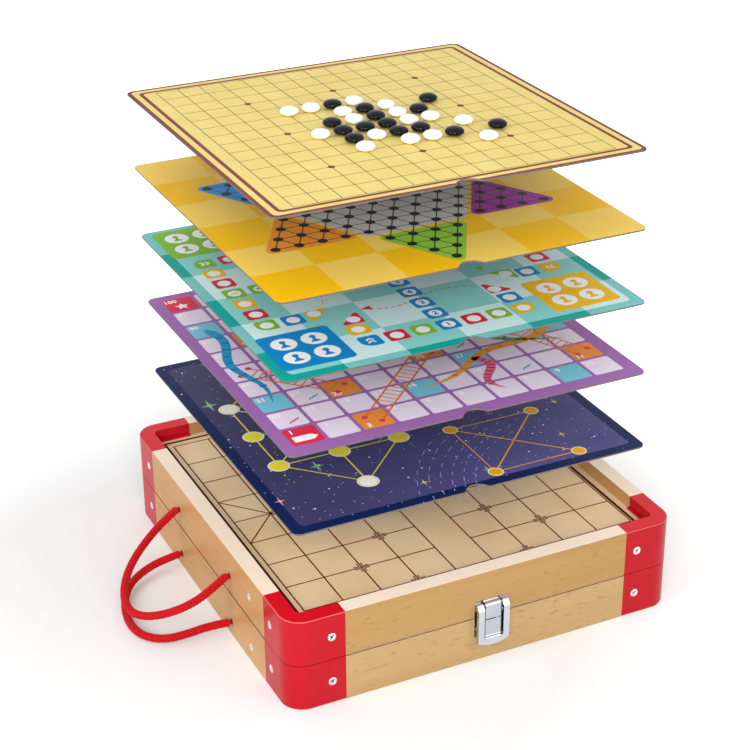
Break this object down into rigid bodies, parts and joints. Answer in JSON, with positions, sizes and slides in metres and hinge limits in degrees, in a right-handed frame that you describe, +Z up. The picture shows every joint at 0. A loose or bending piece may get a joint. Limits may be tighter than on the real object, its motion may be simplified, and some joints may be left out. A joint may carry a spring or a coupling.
{
  "type": "games compendium box",
  "caption": "Hinged wooden games case with red corner blocks, rope handles, a front latch, and a lid recess for a stack of printed boards set out with stones.",
  "frame": {"origin": "middle of the case's footprint, on the surface it stands on", "axes": "+Z up, +X to the right of someone facing the latch, +Y from the latch to the hinges"},
  "size_m": [0.3922, 0.3344, 0.3679],
  "materials": {
    "beech": "satin lacquer",
    "red_lacquer": "gloss red lacquer",
    "plywood": "satin, printed on the lid",
    "rope_red": "twisted cord",
    "nickel": "bright plated",
    "zinc": "bright zinc",
    "card_star": "printed, satin",
    "card_snakes": "printed, satin",
    "card_ludo": "printed, satin",
    "card_checkers": "printed, satin",
    "card_go": "printed, satin",
    "stone_black": "gloss",
    "stone_white": "gloss",
    "disc_red": "satin",
    "disc_black": "satin",
    "dice_white": "gloss"
  },
  "bodies": {
    "base": {"base_front_rail": "beech", "base_right_rail": "beech", "base_back_rail": "beech", "base_left_rail": "beech", "base_front_left_corner": "red_lacquer", "base_front_right_corner": "red_lacquer", "base_back_right_corner": "red_lacquer", "base_back_left_corner": "red_lacquer", "base_panel": "plywood", "base_partition": "beech", "base_corner_screws": "zinc", "base_partition_screws": "zinc", "base_rope_ends": "rope_red", "base_hinge_leaves": "nickel", "base_hinge_screws": "zinc", "hinge_pins": "nickel", "latch_keeper": "nickel", "latch_keeper_screws": "zinc", "red_discs": "disc_red", "black_discs": "disc_black", "dice": "dice_white"},
    "lid": {"lid_front_rail": "beech", "lid_right_rail": "beech", "lid_back_rail": "beech", "lid_left_rail": "beech", "lid_front_left_corner": "red_lacquer", "lid_front_right_corner": "red_lacquer", "lid_back_right_corner": "red_lacquer", "lid_back_left_corner": "red_lacquer", "lid_panel": "plywood", "lid_partition": "beech", "lid_corner_screws": "zinc", "lid_partition_screws": "zinc", "lid_rope_ends": "rope_red", "lid_hinge_leaves": "nickel", "lid_hinge_screws": "zinc", "latch_plate": "nickel", "latch_pin": "nickel", "latch_plate_screws": "zinc"},
    "latch_bail": {"latch_bail": "nickel"},
    "lid_handle": {"lid_rope_handle": "rope_red"},
    "base_handle": {"base_rope_handle": "rope_red"},
    "star_board": {"star_board": "card_star"},
    "snakes_board": {"snakes_board": "card_snakes"},
    "ludo_board": {"ludo_board": "card_ludo"},
    "checkers_board": {"checkers_board": "card_checkers"},
    "go_board": {"go_board": "card_go", "black_stones": "stone_black", "white_stones": "stone_white"}
  },
  "joints": [
    {"name": "case_hinge", "type": "hinge", "parent": "base", "child": "lid", "pos_m": [0, 0.1638, 0.0375], "axis": [1, 0, 0], "range_deg": [-180, 0]},
    {"name": "latch_bail_swing", "type": "hinge", "parent": "lid", "child": "latch_bail", "pos_m": [0, -0.1633, 0.0488], "axis": [1, 0, 0], "range_deg": [-115, 0]},
    {"name": "handle_lid_swing", "type": "hinge", "parent": "lid", "child": "lid_handle", "pos_m": [-0.163, 0.003, 0.053], "axis": [0, -1, 0], "range_deg": [-90, 0]},
    {"name": "handle_base_swing", "type": "hinge", "parent": "base", "child": "base_handle", "pos_m": [-0.163, 0.003, 0.012], "axis": [0, -1, 0], "range_deg": [-90, 0]},
    {"name": "star_board_lift", "type": "slide", "parent": "lid", "child": "star_board", "axis": [-0.008, 0.0758, 0.9971], "range_m": [-0.0672, 0]},
    {"name": "snakes_board_lift", "type": "slide", "parent": "star_board", "child": "snakes_board", "axis": [-0.008, 0.0758, 0.9971], "range_m": [-0.05837, 0]},
    {"name": "ludo_board_lift", "type": "slide", "parent": "snakes_board", "child": "ludo_board", "axis": [-0.008, 0.0758, 0.9971], "range_m": [-0.05376, 0]},
    {"name": "checkers_board_lift", "type": "slide", "parent": "ludo_board", "child": "checkers_board", "axis": [-0.008, 0.0758, 0.9971], "range_m": [-0.05486, 0]},
    {"name": "go_board_lift", "type": "slide", "parent": "checkers_board", "child": "go_board", "axis": [-0.008, 0.0758, 0.9971], "range_m": [-0.05697, 0]}
  ],
  "couplings": [
    {"joint": "handle_base_swing", "follows": "handle_lid_swing", "ratio": 1}
  ]
}
